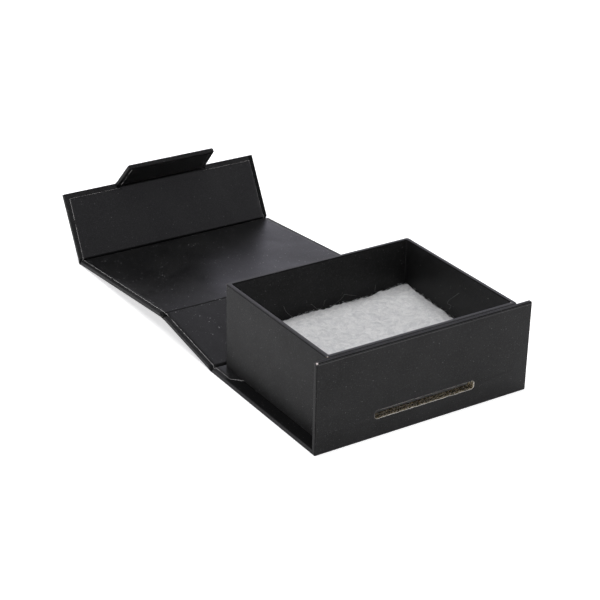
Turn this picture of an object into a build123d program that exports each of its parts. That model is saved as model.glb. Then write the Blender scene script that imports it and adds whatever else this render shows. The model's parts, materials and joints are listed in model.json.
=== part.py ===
from build123d import *
import os
from math import asin, degrees, radians, sin, sqrt

# A small rigid gift box, opened flat on a table. A one-piece cover of greyboard panels in black
# paper carries a glued-in tray. The panels follow one another from the front panel over the base,
# spine, lid and flap to a tab, which tucks through a slot in the front panel to close the box.
# Lengths are in mm and angles in degrees. X runs across the box, Y from the front panel to the
# lid, Z up. The origin is the middle of the base's underside.

# Sheet materials
board = 2.0  # greyboard of every panel and tray wall
paper = 0.2  # wrapping or lining paper with its glue

# Cover
cover_width = 122.0  # every panel of the cover is this wide
base_depth = 93.6  # face of the front panel to the spine's hinge line
rim_height = 47.5  # table to the level tops of the front panel and the tray
turn_in = 15.0  # wrap folded over a panel's edge on to its inner face
lining_inset = 2.0  # edge of a panel to the cut edge of its lining
tongue_length = 15.5  # lining glued down on the base behind its two chamfers
tongue_chamfer = 8.0  # each corner cut off the end of that tongue

# Tab and slot
slot_length = 57.4
slot_height_above_table = 11.8  # middle of the slot
slot_corner_radius = 1.5
slot_side_clearance = 0.5  # slot end to the tab's side, at the tab's root
slot_face_clearance = 0.9  # slot to the tab's face, above and below
tab_rise = 0.4  # middle of the tucked tab above the middle of the slot
tab_length = 22.0  # hinge line to tip
tab_taper = 1.1  # each side leans in by this much from root to tip
tab_corner_radius = 1.0
tab_turn_in = 7.0

# Tray
tray_margin = 6.9  # side of the cover to side of the tray
tray_corner_radius = 1.5
turn_under = 12.0  # tray wrap folded under the tray's floor
stay_leg = 12.0  # each leg of a corner stay
stay_thickness = 0.1
seam_overlap = 7.0  # tray wrap lapped over itself in one inside corner

# Wadding pad
pad_height = 16.4  # at its middle
pad_rise = 1.6  # the back edge lies this much higher than the front edge
pad_wall_gap = 0.8
pad_corner_radius = 5.0
pad_shoulder = 5.0  # how far the rounded top edge reaches in
pad_shoulder_drop = 3.4
pad_shoulder_bend = 0.3  # share of reach and of drop where the shoulder bends
pad_crown = 0.8
pad_crown_inset = 20.0  # where the crown levels out
pad_foot_inset = 1.2  # the underside is drawn in by this much
pad_foot_height = 2.6
pocket_clearance = 1.2  # pressed pocket to the tucked tab, on every side

# How the open box lies
spine_angle = 9.2  # spine to the table
flap_angle = 61.8
tab_angle = 132.5

# Clearances
closing_clearance = 0.3  # cover to the front panel and rim when shut
mitre_clearance = 0.3  # mitred edge to the middle of a closed corner, along the board
bead_gap = 0.1  # hinge paper to the next panel's paper

# Worked out from the sizes above
edge = board + 2 * paper  # thickness of a wrapped panel's edge
lined = edge + paper  # thickness where the lining lies on a turned-in wrap
front = -base_depth / 2
back = base_depth / 2
mitre = mitre_clearance + paper * sqrt(2)  # hinge line to the foot of a board's mitre
flat_from = mitre + board  # hinge line to the flat inner face
turned_from = flat_from + 2 * paper  # hinge line to the trimmed end of a turned-in wrap
panel_start = paper + bead_gap  # hinge line to the paper of the panel that follows

spine_length = rim_height + closing_clearance + lined - 2 * paper
lid_length = base_depth + closing_clearance + lined - paper
flap_length = spine_length + lined / 2 - slot_height_above_table - tab_rise
lid_angle = -degrees(asin(spine_length * sin(radians(spine_angle)) / lid_length))
angles = {"spine": spine_angle, "lid": lid_angle, "flap": flap_angle, "tab": tab_angle}
lengths = {"spine": spine_length, "lid": lid_length, "flap": flap_length, "tab": tab_length}

slot_height = lined + 2 * slot_face_clearance
tab_root = slot_length - 2 * slot_side_clearance
tab_slit = tab_root + 2 * slot_side_clearance  # gap in the flap's folded edge, where the tab hangs
lining_width = cover_width - 2 * lining_inset

tray_width = cover_width - 2 * tray_margin
tray_front = front + edge
tray_back = back + paper - lined - closing_clearance
tray_depth = tray_back - tray_front
tray_middle = (tray_front + tray_back) / 2
tray_floor = edge + paper  # underside of the tray's boards, on the base's lining
wall_foot = tray_floor + board  # top of the tray's floor board
wall_top = rim_height - paper
pad_bottom = wall_foot + paper
tab_tip_shut = front - closing_clearance - lined + paper + tab_length


# ---- Shapes that repeat ----


def rectangle(left, right, near, far):
    """A flat outline between two X and two Y values."""
    middle = Pos((left + right) / 2, (near + far) / 2)
    return middle * Rectangle(right - left, far - near)


def strip(width, near, far):
    """A flat outline centred on X, between two Y values."""
    return rectangle(-width / 2, width / 2, near, far)


def layer(outline, low, thickness):
    """A flat outline raised to a height and given a thickness."""
    return extrude(Pos(0, 0, low) * outline, thickness, dir=(0, 0, 1))


def prism(points, width):
    """A block across X from its side profile of (y, z) points."""
    return extrude(Plane.YZ * Polygon(*points, align=None), width / 2, both=True)


def mitre_cut(foot, direction, width):
    """What a mitred edge leaves free above the wrap. The mitre rises from foot along Y."""
    rise = edge + paper
    points = [
        (foot, paper),
        (foot + direction * rise, paper + rise),
        (foot - direction * rise, paper + rise),
        (foot - direction * rise, paper),
    ]
    return prism(points, width)


def hinge_bead(hinge_line, width, part):
    """Half of the rounded end of the two papers glued together on a hinge line."""
    bead = Pos(0, hinge_line, paper) * Cylinder(paper, width, rotation=(0, 90, 0))
    shift = -paper if part == "wrap" else paper
    return bead & (Pos(0, hinge_line, paper + shift) * Box(width, 4 * paper, 2 * paper))


def lining_over_mitre(hinge_line, direction, width):
    """Lining from the hinge line over the mitred edge to the flat inner face."""
    reach = 0 if direction < 0 else panel_start
    outer = mitre - paper * sqrt(2) + paper
    profile = [
        (reach, paper),
        (mitre, paper),
        (flat_from, paper + board),
        (flat_from, edge),
        (outer + board, edge),
        (outer, 2 * paper),
        (reach, 2 * paper),
    ]
    return prism([(hinge_line + direction * y, z) for y, z in profile], width)


def wrap_layers(outline, core, window):
    """Wrapping paper under a board, round its edges and turned in on its inner face."""
    under = layer(outline, 0, paper)
    round_edges = layer(outline - core, paper, board)
    turned = layer(outline - window, paper + board, paper)
    return under + round_edges + turned


def side_window(near, far):
    """Bare inner face of a panel whose wrap turns in along its two sides only."""
    bare = cover_width - 2 * turn_in
    ends = strip(cover_width, near - edge, near) + strip(cover_width, far, far + edge)
    return ends + strip(bare, near - edge, far + edge)


def side_window_inside(near, far):
    """The same window drawn in by a paper, so that the two levels of the lining join."""
    bare = cover_width - 2 * turn_in - 2 * paper
    low, high = near - paper, far + paper
    ends = strip(cover_width, near - edge, low) + strip(cover_width, high, far + edge)
    return ends + strip(bare, near - edge, far + edge)


def place(solid, panel):
    """Lay a flat-built panel on its hinge line at its resting angle."""
    y, z = hinge_lines[panel]
    return Pos(0, y, z) * Rot(angles[panel], 0, 0) * Pos(0, 0, -paper) * solid


def follow_hinges():
    """Y and Z of the line that each moving panel turns on, as the box lies open."""
    y, z = back, paper
    lines = {}
    for panel in lengths:
        lines[panel] = (y, z)
        turned = Vector(lengths[panel], 0, 0).rotate(Axis.Z, angles[panel])
        y += turned.X
        z += turned.Y
    return lines


hinge_lines = follow_hinges()


# ---- Spine and lid: panels with a hinge at both ends ----


def panel_board(length):
    core = layer(strip(cover_width - 2 * paper, panel_start, length), paper, board)
    return core - mitre_cut(mitre, 1, cover_width) - mitre_cut(length - mitre, -1, cover_width)


def panel_wrap(length):
    outline = strip(cover_width, panel_start, length)
    core = strip(cover_width - 2 * paper, panel_start, length)
    window = side_window(turned_from, length - turned_from)
    skin = wrap_layers(outline, core, window)
    skin -= mitre_cut(mitre, 1, cover_width)
    skin -= mitre_cut(length - mitre, -1, cover_width)
    return skin + hinge_bead(length, cover_width, "wrap")


def panel_lining(length):
    near, far = turned_from, length - turned_from
    sheet = strip(lining_width, flat_from, length - flat_from)
    raised = strip(lining_width, near - paper, far + paper)
    low = layer(sheet & side_window(near, far), paper + board, paper)
    high = layer(raised - side_window_inside(near, far), edge, paper)
    over_start = lining_over_mitre(0, 1, lining_width)
    over_end = lining_over_mitre(length, -1, lining_width)
    return low + high + over_start + over_end + hinge_bead(length, lining_width, "lining")


# ---- Flap: a hinge at its foot, a folded free edge, and the tab's hinge in the middle ----


def flap_board():
    core = layer(strip(cover_width - 2 * paper, panel_start, flap_length), paper, board)
    return core - mitre_cut(mitre, 1, cover_width) - mitre_cut(flap_length - mitre, -1, tab_slit)


def flap_window(shrink):
    """Bare inner face of the flap, drawn in by shrink at every turned-in edge."""
    bare = cover_width - 2 * turn_in - 2 * shrink
    foot = strip(cover_width, 0, turned_from - shrink)
    middle = strip(bare, 0, flap_length + paper - turn_in - shrink)
    under_tab = strip(tab_slit - 2 * shrink, 0, flap_length + edge)
    return foot + middle + under_tab


def flap_wrap():
    tab_gap = strip(tab_slit, flap_length, flap_length + edge)
    outline = strip(cover_width, panel_start, flap_length + paper) - tab_gap
    core = strip(cover_width - 2 * paper, panel_start, flap_length)
    skin = wrap_layers(outline, core, flap_window(0))
    skin -= mitre_cut(mitre, 1, cover_width)
    skin -= mitre_cut(flap_length - mitre, -1, tab_slit)
    return skin + hinge_bead(flap_length, tab_slit, "wrap")


def flap_lining():
    far = flap_length + paper - lining_inset
    root_width = tab_root - 2 * lining_inset
    tab_gap = strip(tab_slit, flap_length - flat_from, far + edge)
    sheet = strip(lining_width, flat_from, far) - tab_gap
    raised = strip(lining_width, turned_from - paper, far) - tab_gap
    low = layer(sheet & flap_window(0), paper + board, paper)
    high = layer(raised - flap_window(paper), edge, paper)
    over_foot = lining_over_mitre(0, 1, lining_width)
    over_tab = lining_over_mitre(flap_length, -1, root_width)
    return low + high + over_foot + over_tab + hinge_bead(flap_length, root_width, "lining")


# ---- Tab: a small trapezoid panel ----


def tab_outline(inset, near):
    """The tab's outline drawn in from its sides and tip, from near to its tip."""
    lean = tab_taper / tab_length
    root = tab_root / 2 + lean * edge
    tip = tab_root / 2 - tab_taper
    corners = [(-root, -edge), (root, -edge), (tip, tab_length), (-tip, tab_length)]
    whole = Polygon(*corners, align=None)
    whole = fillet(whole.vertices().sort_by(Axis.Y)[-2:], tab_corner_radius)
    drawn_in = offset(whole, -inset) if inset else whole
    return drawn_in & strip(cover_width, near, tab_length)


def tab_board():
    core = layer(tab_outline(paper, panel_start), paper, board)
    return core - mitre_cut(mitre, 1, cover_width)


def tab_window(shrink):
    bare = tab_outline(tab_turn_in + shrink, turned_from - shrink)
    return bare + strip(cover_width, 0, turned_from - shrink)


def tab_wrap():
    skin = wrap_layers(tab_outline(0, panel_start), tab_outline(paper, panel_start), tab_window(0))
    return skin - mitre_cut(mitre, 1, cover_width)


def tab_lining():
    sheet = tab_outline(lining_inset, flat_from)
    raised = tab_outline(lining_inset, turned_from - paper)
    low = layer(sheet & tab_window(0), paper + board, paper)
    high = layer(raised - tab_window(paper), edge, paper)
    at_mitre = tab_root - 2 * lining_inset - 2 * tab_taper * flat_from / tab_length
    return low + high + lining_over_mitre(0, 1, at_mitre)


# ---- Base: lies on the table, mitred to the front panel and hinged to the spine ----


def base_board():
    core = layer(strip(cover_width - 2 * paper, front + paper, back), paper, board)
    return core - mitre_cut(front + paper, 1, cover_width) - mitre_cut(back - mitre, -1, cover_width)


def base_wrap():
    outline = strip(cover_width, front, back)
    core = strip(cover_width - 2 * paper, front, back)
    window = side_window(front + edge, back - turned_from)
    skin = wrap_layers(outline, core, window)
    skin -= mitre_cut(front + paper, 1, cover_width)
    skin -= mitre_cut(back - mitre, -1, cover_width)
    return skin + hinge_bead(back, cover_width, "wrap")


def tongue_outline(far):
    """The end of the lining that is glued on the base, with its two corners cut off."""
    near = back - tongue_length - tongue_chamfer
    half = lining_width / 2
    corners = [
        (-half + tongue_chamfer, near),
        (half - tongue_chamfer, near),
        (half, near + tongue_chamfer),
        (half, far),
        (-half, far),
        (-half, near + tongue_chamfer),
    ]
    return Polygon(*corners, align=None)


def base_lining():
    far = back - turned_from
    low = layer(tongue_outline(back - flat_from) & side_window(front, far), paper + board, paper)
    high = layer(tongue_outline(far + paper) - side_window_inside(front, far), edge, paper)
    over_end = lining_over_mitre(back, -1, lining_width)
    return low + high + over_end + hinge_bead(back, lining_width, "lining")


# ---- Front panel: stands on the base, with the slot for the tab ----

upright = Plane(origin=(0, front, 0), x_dir=(-1, 0, 0), z_dir=(0, 1, 0))


def slot_cutter(near, far):
    """The slot as a block along Y."""
    face = RectangleRounded(slot_length, slot_height, slot_corner_radius)
    block = extrude(face, far - near, dir=(0, 0, 1))
    return upright * Pos(0, slot_height_above_table, near - front) * block


def front_board():
    core = layer(strip(cover_width - 2 * paper, paper, rim_height - paper), paper, board)
    core -= mitre_cut(paper, 1, cover_width)
    return upright * core - slot_cutter(front - edge, front + 2 * edge)


def front_wrap():
    outline = strip(cover_width, paper, rim_height)
    core = strip(cover_width - 2 * paper, paper, rim_height - paper)
    bare = cover_width - 2 * turn_in
    window = strip(bare, 0, rim_height - turn_in) + strip(cover_width, 0, edge)
    skin = wrap_layers(outline, core, window) - mitre_cut(paper, 1, cover_width)
    return upright * skin - slot_cutter(front - edge, front + 2 * edge)


# ---- Tray: mitred floor and four walls, held at the corners by stays and wrapped ----


def tray_plan(inset, radius):
    """The tray's plan, drawn in from its wrapped outside."""
    width, depth = tray_width - 2 * inset, tray_depth - 2 * inset
    face = RectangleRounded(width, depth, radius) if radius > 0 else Rectangle(width, depth)
    return Pos(0, tray_middle) * face


def tray_floor_board():
    foot = Pos(0, 0, tray_floor) * tray_plan(paper, 0)
    return extrude(foot, board, taper=45, dir=(0, 0, 1)) & layer(
        tray_plan(paper, tray_corner_radius - paper), tray_floor, board
    )


def tray_side_wall(side):
    outer = tray_width / 2 - paper
    inner = outer - board
    profile = [(outer, tray_floor), (inner, wall_foot), (inner, wall_top), (outer, wall_top)]
    face = Plane.XZ * Polygon(*[(side * x, z) for x, z in profile], align=None)
    wall = Pos(0, tray_middle, 0) * extrude(face, tray_depth, both=True)
    rounded = layer(tray_plan(paper, tray_corner_radius - paper), tray_floor, rim_height)
    return (wall & rounded) - tray_corner_stays()


def tray_end_wall(side):
    outer = tray_middle + side * (tray_depth / 2 - paper)
    inner = outer - side * board
    profile = [(outer, tray_floor), (inner, wall_foot), (inner, wall_top), (outer, wall_top)]
    wall = prism(profile, tray_width - 2 * paper - 2 * board)
    return wall - tray_corner_stays()


def tray_front_wall():
    return tray_end_wall(-1) - slot_cutter(front, tray_front + 2 * edge)


def tray_corner_stays():
    """Four paper angles round the upright corners, let into the boards by their thickness."""
    outside = tray_plan(paper, tray_corner_radius - paper)
    ring = outside - tray_plan(paper + stay_thickness, tray_corner_radius - paper - stay_thickness)
    half_width, half_depth = tray_width / 2 - paper - stay_leg, tray_depth / 2 - paper - stay_leg
    across = Pos(0, tray_middle) * Rectangle(2 * half_width, 2 * tray_depth)
    along = Pos(0, tray_middle) * Rectangle(2 * tray_width, 2 * half_depth)
    return layer(ring - across - along, wall_foot, wall_top - wall_foot)


def tray_wrap():
    """Black paper outside the walls, over the rim and down their inside, and under the floor."""
    outside = tray_plan(0, tray_corner_radius)
    boards = tray_plan(paper, tray_corner_radius - paper)
    inside = tray_plan(paper + board, 0)
    opening = tray_plan(2 * paper + board, 0)
    skirt = layer(outside - boards, tray_floor, rim_height - tray_floor)
    rim = layer(outside - opening, wall_top, paper)
    inner = layer(inside - opening, wall_foot, rim_height - wall_foot)
    bare = Pos(0, tray_middle) * Rectangle(tray_width - 2 * turn_under, tray_depth - 2 * turn_under)
    under = layer(outside - bare - tongue_outline(back), edge, paper)
    lap_right = tray_width / 2 - 2 * paper - board
    lap_back = tray_back - 2 * paper - board
    lap = rectangle(lap_right - seam_overlap, lap_right, lap_back - paper, lap_back)
    seam = layer(lap, wall_foot, rim_height - wall_foot)
    skin = skirt + rim + inner + under + seam
    return skin - slot_cutter(front, tray_front + 2 * edge)


def tray_floor_paper():
    """Black paper on the tray's floor, cut to lie inside the walls and the lapped seam."""
    return layer(tray_plan(3 * paper + board, 0), wall_foot, paper)


# ---- Wadding pad ----


def pad_section(inset, height, tilt):
    """One level of the pad, as a rounded rectangle drawn in from the tray's walls."""
    gap = 2 * paper + board + pad_wall_gap + inset
    radius = pad_corner_radius + inset / 2
    face = RectangleRounded(tray_width - 2 * gap, tray_depth - 2 * gap, radius)
    return Pos(0, tray_middle, height) * Rot(tilt, 0, 0) * face


def pad_pocket():
    """Where the tucked tab presses into the front of the pad."""
    width = tab_root + 2 * pocket_clearance
    height = lined + 2 * pocket_clearance
    near, far = tray_front, tab_tip_shut + pocket_clearance
    middle = Pos(0, (near + far) / 2, slot_height_above_table)
    return middle * Box(width, far - near, height)


def wadding_pad():
    """A puffy cut of wadding: drawn in at its foot, round at its top edge, slightly crowned."""
    tilt = degrees(asin(pad_rise / tray_depth))
    top = pad_bottom + pad_height
    brow = top - pad_crown
    bend = brow - pad_shoulder_drop * pad_shoulder_bend
    sections = [
        pad_section(pad_foot_inset, pad_bottom, 0),
        pad_section(0, pad_bottom + pad_foot_height, 0),
        pad_section(0, brow - pad_shoulder_drop, tilt),
        pad_section(pad_shoulder * pad_shoulder_bend, bend, tilt),
        pad_section(pad_shoulder, brow, tilt),
        pad_section(pad_crown_inset, top, tilt),
    ]
    return loft(sections, ruled=True) - pad_pocket()


nodes = {
    "base_board": base_board(),
    "base_wrap": base_wrap(),
    "base_lining_tongue": base_lining(),
    "front_board": front_board(),
    "front_wrap": front_wrap(),
    "tray_floor_board": tray_floor_board(),
    "tray_front_wall": tray_front_wall(),
    "tray_back_wall": tray_end_wall(1),
    "tray_left_wall": tray_side_wall(-1),
    "tray_right_wall": tray_side_wall(1),
    "tray_corner_stays": tray_corner_stays(),
    "tray_wrap": tray_wrap(),
    "tray_floor_paper": tray_floor_paper(),
    "wadding_pad": wadding_pad(),
    "spine_board": place(panel_board(spine_length), "spine"),
    "spine_wrap": place(panel_wrap(spine_length), "spine"),
    "spine_lining": place(panel_lining(spine_length), "spine"),
    "lid_board": place(panel_board(lid_length), "lid"),
    "lid_wrap": place(panel_wrap(lid_length), "lid"),
    "lid_lining": place(panel_lining(lid_length), "lid"),
    "flap_board": place(flap_board(), "flap"),
    "flap_wrap": place(flap_wrap(), "flap"),
    "flap_lining": place(flap_lining(), "flap"),
    "tab_board": place(tab_board(), "tab"),
    "tab_wrap": place(tab_wrap(), "tab"),
    "tab_lining": place(tab_lining(), "tab"),
}

os.makedirs("parts", exist_ok=True)
for name, solid in nodes.items():
    export_step(solid, f"parts/{name}.step")
for panel, (y, z) in hinge_lines.items():
    print(f"{panel} hinge line y {y:.4f} z {z:.4f} angle {angles[panel]:.4f} length {lengths[panel]:.2f}")
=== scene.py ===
import bmesh
import bpy
import json
import math
import random
from mathutils import Matrix, Vector, noise
from mathutils.bvhtree import BVHTree

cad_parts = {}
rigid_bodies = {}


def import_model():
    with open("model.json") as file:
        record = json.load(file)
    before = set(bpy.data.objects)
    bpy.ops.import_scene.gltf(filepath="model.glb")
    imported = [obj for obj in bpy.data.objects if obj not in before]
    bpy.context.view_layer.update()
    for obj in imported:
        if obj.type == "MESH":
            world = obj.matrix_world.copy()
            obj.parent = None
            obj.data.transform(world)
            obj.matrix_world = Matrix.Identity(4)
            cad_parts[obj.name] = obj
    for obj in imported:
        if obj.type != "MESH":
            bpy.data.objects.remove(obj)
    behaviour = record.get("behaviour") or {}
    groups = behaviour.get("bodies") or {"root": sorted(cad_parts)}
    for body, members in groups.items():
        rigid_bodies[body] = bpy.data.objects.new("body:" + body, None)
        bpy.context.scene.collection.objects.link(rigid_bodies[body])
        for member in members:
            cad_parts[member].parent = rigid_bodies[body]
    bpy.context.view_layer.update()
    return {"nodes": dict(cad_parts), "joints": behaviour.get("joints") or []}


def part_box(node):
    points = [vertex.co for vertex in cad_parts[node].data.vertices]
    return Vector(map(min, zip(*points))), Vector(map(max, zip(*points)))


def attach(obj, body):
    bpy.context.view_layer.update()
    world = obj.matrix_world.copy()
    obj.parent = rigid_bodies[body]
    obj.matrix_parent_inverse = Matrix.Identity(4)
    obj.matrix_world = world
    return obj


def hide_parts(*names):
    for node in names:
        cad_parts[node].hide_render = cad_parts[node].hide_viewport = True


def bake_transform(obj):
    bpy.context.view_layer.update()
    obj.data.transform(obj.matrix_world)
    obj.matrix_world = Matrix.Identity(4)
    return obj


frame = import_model()
nodes = frame["nodes"]

# ---- Camera ----
# A long lens, a little above the open box and to the left of its front panel.


def new_object(name, data):
    """A named object around some data, at the origin and linked to the scene."""
    made = bpy.data.objects.new(name, data)
    bpy.context.scene.collection.objects.link(made)
    return made


camera = new_object("camera", bpy.data.cameras.new("camera"))
camera.data.sensor_width = 36.0
camera.data.lens = 102.82
camera.data.clip_start, camera.data.clip_end = 0.05, 20.0
stand = Vector((-0.43109, -0.59671, 0.40236))
aim = Vector((-0.00218, 0.05756, 0.02))
lean = Matrix.Rotation(math.radians(1.20), 4, "Z")
facing = (aim - stand).to_track_quat("-Z", "Y").to_matrix().to_4x4()
camera.matrix_world = Matrix.Translation(stand) @ (facing @ lean)
bpy.context.scene.camera = camera

# ---- Studio ----
# A white floor that keeps the box's soft shadow, a white surround that is bright low down and dim
# overhead, and soft lamps: two low ones, one behind that draws the sheen, and one overhead for
# the inside of the tray, which the paper doesn't mirror.

mm = 0.001
bpy.context.scene.view_settings.view_transform = "Standard"


def node_material(name, roughness, specular):
    """A new material, its node tree, its shader and its object coordinates."""
    made = bpy.data.materials.new(name)
    made.use_nodes = True
    tree = made.node_tree
    shader = tree.nodes["Principled BSDF"]
    shader.inputs["Roughness"].default_value = roughness
    shader.inputs["Specular IOR Level"].default_value = specular
    place = tree.nodes.new("ShaderNodeTexCoord").outputs["Object"]
    return made, tree, shader, place


def along_axis(tree, place, axis):
    """One of a place's three coordinates, as a number."""
    parts = tree.nodes.new("ShaderNodeSeparateXYZ")
    tree.links.new(place, parts.inputs[0])
    return parts.outputs[axis]


def ramp(tree, value, *stops):
    """Colours along a number, each stop as its position and a colour or a grey level."""
    made = tree.nodes.new("ShaderNodeValToRGB")
    elements = made.color_ramp.elements
    while len(elements) < len(stops):
        elements.new(0.5)
    for element, (position, colour) in zip(elements, stops):
        element.position = position
        element.color = (*colour, 1) if isinstance(colour, tuple) else (colour, colour, colour, 1)
    tree.links.new(value, made.inputs["Fac"])
    return made.outputs["Color"]


def shown_to_camera(tree, shown, lighting, output):
    """The camera sees one shader, and the other one lights and is mirrored by the rest."""
    path = tree.nodes.new("ShaderNodeLightPath")
    pick = tree.nodes.new("ShaderNodeMixShader")
    tree.links.new(path.outputs["Is Camera Ray"], pick.inputs[0])
    tree.links.new(lighting.outputs[0], pick.inputs[1])
    tree.links.new(shown.outputs[0], pick.inputs[2])
    tree.links.new(pick.outputs[0], output.inputs["Surface"])


world = bpy.data.worlds.new("surround")
bpy.context.scene.world = world
world.use_nodes = True
tree = world.node_tree
backdrop, fill = tree.nodes.new("ShaderNodeBackground"), tree.nodes["Background"]
backdrop.inputs["Color"].default_value = (1, 1, 1, 1)
for surround in (backdrop, fill):
    surround.inputs["Strength"].default_value = 1.0
direction = tree.nodes.new("ShaderNodeTexCoord").outputs["Generated"]
low_down, halfway, overhead = (0.05, 0.56), (0.62, 0.42), (0.90, 0.12)
haze = [
    (rise, (level, 0.985 * level, 1.06 * level)) for rise, level in (low_down, halfway, overhead)
]
tree.links.new(ramp(tree, along_axis(tree, direction, 2), *haze), fill.inputs["Color"])
shown_to_camera(tree, backdrop, fill, tree.nodes["World Output"])

floor_size, below_base = 4.0, 0.03 * mm
floor_grid = bmesh.new()
bmesh.ops.create_grid(
    floor_grid, x_segments=1, y_segments=1, size=floor_size,
    matrix=Matrix.Translation((0, 0, -below_base)),
)
floor = new_object("floor", bpy.data.meshes.new("floor"))
floor_grid.to_mesh(floor.data)
floor_grid.free()
white_floor, tree, matte_white, _ = node_material("white_floor", roughness=1.0, specular=0.0)
matte_white.inputs["Base Color"].default_value = (0.80, 0.80, 0.80, 1)
glow = tree.nodes.new("ShaderNodeEmission")
glow.inputs["Strength"].default_value = 0.62
lit = tree.nodes.new("ShaderNodeAddShader")
tree.links.new(matte_white.outputs[0], lit.inputs[0])
tree.links.new(glow.outputs[0], lit.inputs[1])
shown_to_camera(tree, lit, matte_white, tree.nodes["Material Output"])
floor.data.materials.append(white_floor)


def softbox(name, place, target, size, power, colour=(1, 1, 1), mirrored=True):
    """A rectangular lamp, aimed at a point. One that isn't mirrored only lights."""
    lamp = bpy.data.lights.new(name, "AREA")
    lamp.shape, lamp.size, lamp.size_y, lamp.energy = "RECTANGLE", size[0], size[1], power
    lamp.color = colour
    holder = new_object(name, lamp)
    holder.location = place
    aimed = Vector(target) - Vector(place)
    holder.rotation_euler = aimed.to_track_quat("-Z", "Y").to_euler()
    holder.visible_glossy = mirrored


faint_violet = (1.0, 0.98, 1.24)
softbox("low_left", (-1.2, -0.15, 0.07), (0, 0.0, 0.03), (1.0, 0.12), power=4.0)
softbox("low_front", (-0.2, -1.4, 0.14), (0, 0.0, 0.03), (1.2, 0.24), power=2.5)
softbox("overhead", (0.0, 0.1, 1.5), (0, 0.05, 0.0), (1.4, 1.4), power=21.0, mirrored=False)
softbox("behind", (1.2, 1.6, 0.75), (0, 0.1, 0.02), (0.9, 0.6), power=1.0, colour=faint_violet)

# ---- Greyboard ----
# Every panel and tray wall is 2 mm greyboard, pressed from waste paper: a dull brown-grey body
# with dark pits, pale scraps and pale fibres. It shows raw only where the slot was punched.


def grain(tree, place, scale, detail=3.0, roughness=0.6, distortion=0.0):
    """Noise over the surface, as a number from 0 to 1."""
    made = tree.nodes.new("ShaderNodeTexNoise")
    made.inputs["Scale"].default_value = scale
    made.inputs["Detail"].default_value = detail
    made.inputs["Roughness"].default_value = roughness
    made.inputs["Distortion"].default_value = distortion
    tree.links.new(place, made.inputs["Vector"])
    return made.outputs["Fac"]


def cells(tree, place, scale):
    """Scattered cells: the distance from a cell's middle, and two random numbers of its own."""
    made = tree.nodes.new("ShaderNodeTexVoronoi")
    made.inputs["Scale"].default_value = scale
    tree.links.new(place, made.inputs["Vector"])
    parts = tree.nodes.new("ShaderNodeSeparateColor")
    tree.links.new(made.outputs["Color"], parts.inputs[0])
    return made.outputs["Distance"], parts.outputs[0], parts.outputs[1]


def blended(tree, share, first, second, way="MIX"):
    """Two colours mixed by a number; each colour is a tuple or another node's output."""
    made = tree.nodes.new("ShaderNodeMix")
    made.data_type, made.blend_type = "RGBA", way
    for socket, value in ((0, share), (6, first), (7, second)):
        if isinstance(value, (tuple, float)):
            made.inputs[socket].default_value = (*value, 1) if socket else value
        else:
            tree.links.new(value, made.inputs[socket])
    return made.outputs[2]


def reckon(tree, operation, first, second=0.0, third=0.0):
    """A sum done by a node, on numbers and other nodes' outputs."""
    made = tree.nodes.new("ShaderNodeMath")
    made.operation = operation
    for socket, value in enumerate((first, second, third)):
        if isinstance(value, (int, float)):
            made.inputs[socket].default_value = value
        else:
            tree.links.new(value, made.inputs[socket])
    return made.outputs[0]


def relief(tree, shader, height, depth):
    """Bump of a real depth, in metres."""
    made = tree.nodes.new("ShaderNodeBump")
    made.inputs["Strength"].default_value = 1.0
    made.inputs["Distance"].default_value = depth
    tree.links.new(height, made.inputs["Height"])
    tree.links.new(made.outputs["Normal"], shader.inputs["Normal"])


def dress(name, finish):
    """Give a CAD node that stays on show a finish of its own."""
    nodes[name].data.materials.clear()
    nodes[name].data.materials.append(finish)


greyboard, tree, shader, place = node_material("greyboard", roughness=0.95, specular=0.15)
coarse = grain(tree, place, 1500, detail=4.0, roughness=0.8)
fine = grain(tree, place, 2600, detail=2.0, roughness=0.7)
pit, brown, buff = (0.012, 0.010, 0.007), (0.20, 0.15, 0.075), (0.50, 0.42, 0.26)
pale_scrap, pale_fibre = (0.72, 0.66, 0.54), (0.84, 0.80, 0.70)
body = ramp(tree, coarse, (0.43, pit), (0.49, brown), (0.56, buff))
_, shade, lot = cells(tree, place, 2000)
shade = ramp(tree, shade, (0.20, 0.10), (0.45, 0.75), (0.80, 1.0))
body = blended(tree, 1.0, body, shade, "MULTIPLY")
body = blended(tree, ramp(tree, lot, (0.80, 0.0), (0.84, 0.75)), body, pale_scrap)
body = blended(tree, ramp(tree, fine, (0.60, 0.0), (0.65, 1.0)), body, pale_fibre)
tree.links.new(body, shader.inputs["Base Color"])
relief(tree, shader, reckon(tree, "ADD", coarse, fine), 0.25 * mm)

for name in nodes:
    if name.endswith(("_board", "_wall")):
        dress(name, greyboard)

# ---- Outer black paper ----
# The wrap is matte black paper, dyed through, with a faint cloudy tooth and fine pale dust, and
# it is rubbed through at three corners. Darker and paler copies of it are painted shade, painted
# highlight and painted sheen, laid on folds, strips, rims and the tray's inside; some highlighted
# folds are rubbed too.

rubbed_corners = (
    ((-60.8 * mm, -46.6 * mm, 47.3 * mm), 1.1 * mm),
    ((-53.4 * mm, -43.7 * mm, 47.4 * mm), 0.45 * mm),
    ((51.4 * mm, -42.2 * mm, 47.3 * mm), 0.6 * mm),
)
rubbed_through = (0.62, 0.56, 0.55)


def dusted(tree, place, body, scale, size, share, strength, tone):
    """A colour with small pale specks on it, one in a share of the cells."""
    distance, lot, _ = cells(tree, place, scale)
    near = reckon(tree, "LESS_THAN", distance, size * scale)
    speck = reckon(tree, "MULTIPLY", near, reckon(tree, "LESS_THAN", lot, share))
    return blended(tree, reckon(tree, "MULTIPLY", speck, strength), body, tone)


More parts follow.
